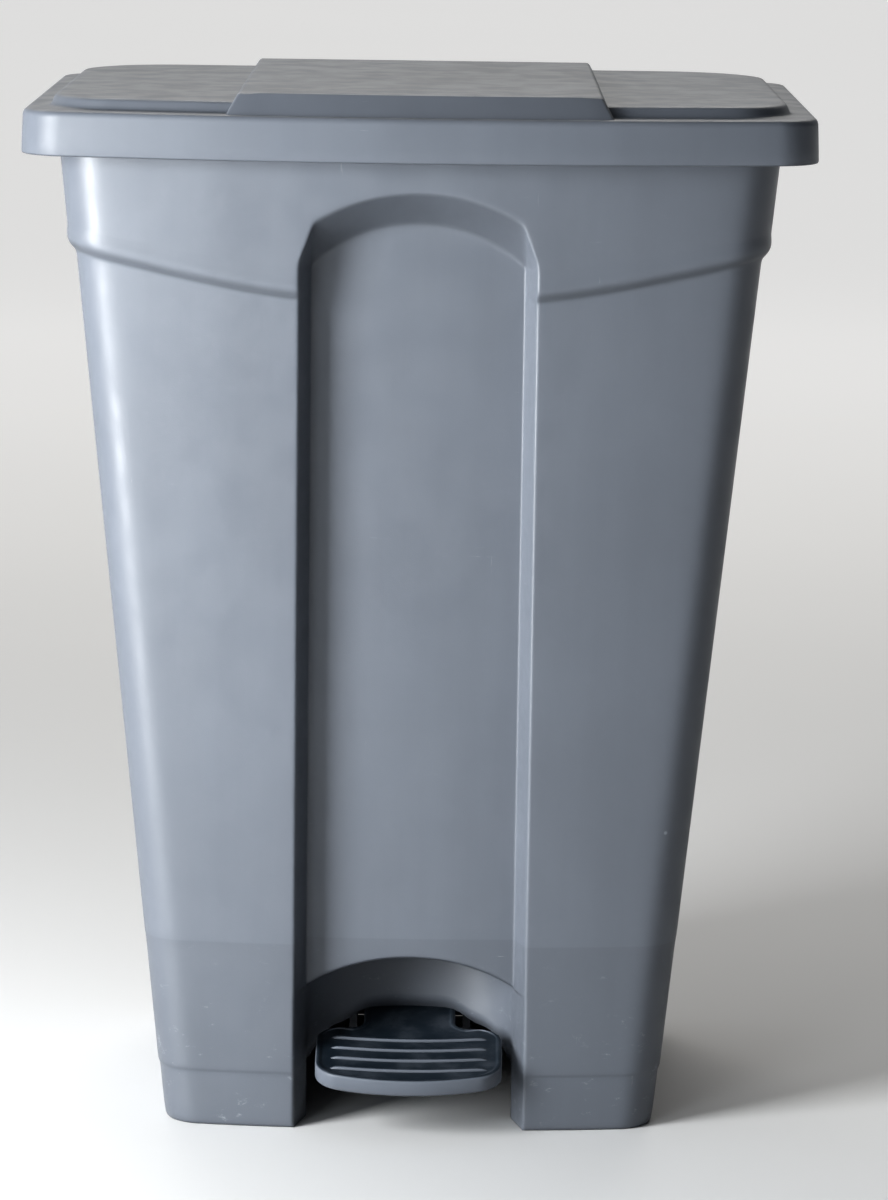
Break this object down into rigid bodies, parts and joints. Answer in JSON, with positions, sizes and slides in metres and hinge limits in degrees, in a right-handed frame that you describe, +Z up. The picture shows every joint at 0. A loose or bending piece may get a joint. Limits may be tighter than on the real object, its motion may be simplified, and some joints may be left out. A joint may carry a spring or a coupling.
{
  "type": "pedal bin",
  "caption": "Tapered plastic step-on bin: front recess, toe space with a ribbed pedal, and a hinged lid that a lever and push rod lift.",
  "frame": {"origin": "on the ground, under the middle of the bin's bounding box", "axes": "+Z up, -Y out of the front where the pedal is, +X to the right of someone facing the front"},
  "size_m": [0.5, 0.41, 0.673],
  "materials": {
    "body_plastic": "fine satin grain, slate grey",
    "lid_plastic": "fine satin grain, slate grey",
    "pedal_plastic": "satin, dark slate grey",
    "guide_nylon": "satin black",
    "buffer_rubber": "matte black",
    "zinc_steel": "zinc plated",
    "pin_steel": "drawn bright steel"
  },
  "bodies": {
    "bin": {"bin_body": "body_plastic", "hinge_pin_left": "pin_steel", "hinge_pin_right": "pin_steel", "axle_bracket_left": "zinc_steel", "axle_bracket_right": "zinc_steel", "bracket_rivet_left_front": "zinc_steel", "bracket_rivet_left_rear": "zinc_steel", "bracket_rivet_right_front": "zinc_steel", "bracket_rivet_right_rear": "zinc_steel", "pedal_axle": "pin_steel", "axle_clip_left": "zinc_steel", "axle_clip_right": "zinc_steel", "rod_guide_lower": "guide_nylon", "rod_guide_upper": "guide_nylon", "guide_rivet_lower_left": "zinc_steel", "guide_rivet_lower_right": "zinc_steel", "guide_rivet_upper_left": "zinc_steel", "guide_rivet_upper_right": "zinc_steel"},
    "lid": {"lid": "lid_plastic", "lid_buffer_front_left": "buffer_rubber", "lid_buffer_front_right": "buffer_rubber", "lid_buffer_rear_left": "buffer_rubber", "lid_buffer_rear_right": "buffer_rubber", "lift_pin": "pin_steel"},
    "treadle": {"pedal": "pedal_plastic", "lift_lever": "zinc_steel", "pedal_screw_front": "zinc_steel", "pedal_screw_rear": "zinc_steel", "lever_pin": "pin_steel"},
    "rod": {"push_rod": "zinc_steel", "rod_foot_block": "guide_nylon", "rod_head_block": "guide_nylon"}
  },
  "joints": [
    {"name": "lid_hinge", "type": "hinge", "parent": "bin", "child": "lid", "pos_m": [0, 0.196, 0.636], "axis": [-1, 0, 0], "range_deg": [0, 70]},
    {"name": "pedal_hinge", "type": "hinge", "parent": "bin", "child": "treadle", "pos_m": [0, -0.055, 0.042], "axis": [1, 0, 0], "range_deg": [0, 12.7]},
    {"name": "rod_slide", "type": "slide", "parent": "bin", "child": "rod", "axis": [0, 0.0457, 0.999], "range_m": [0, 0.0429]}
  ],
  "couplings": [
    {"joint": "pedal_hinge", "follows": "lid_hinge", "ratio": 0.18086},
    {"joint": "rod_slide", "follows": "lid_hinge", "m_per_rad": 0.034991}
  ]
}
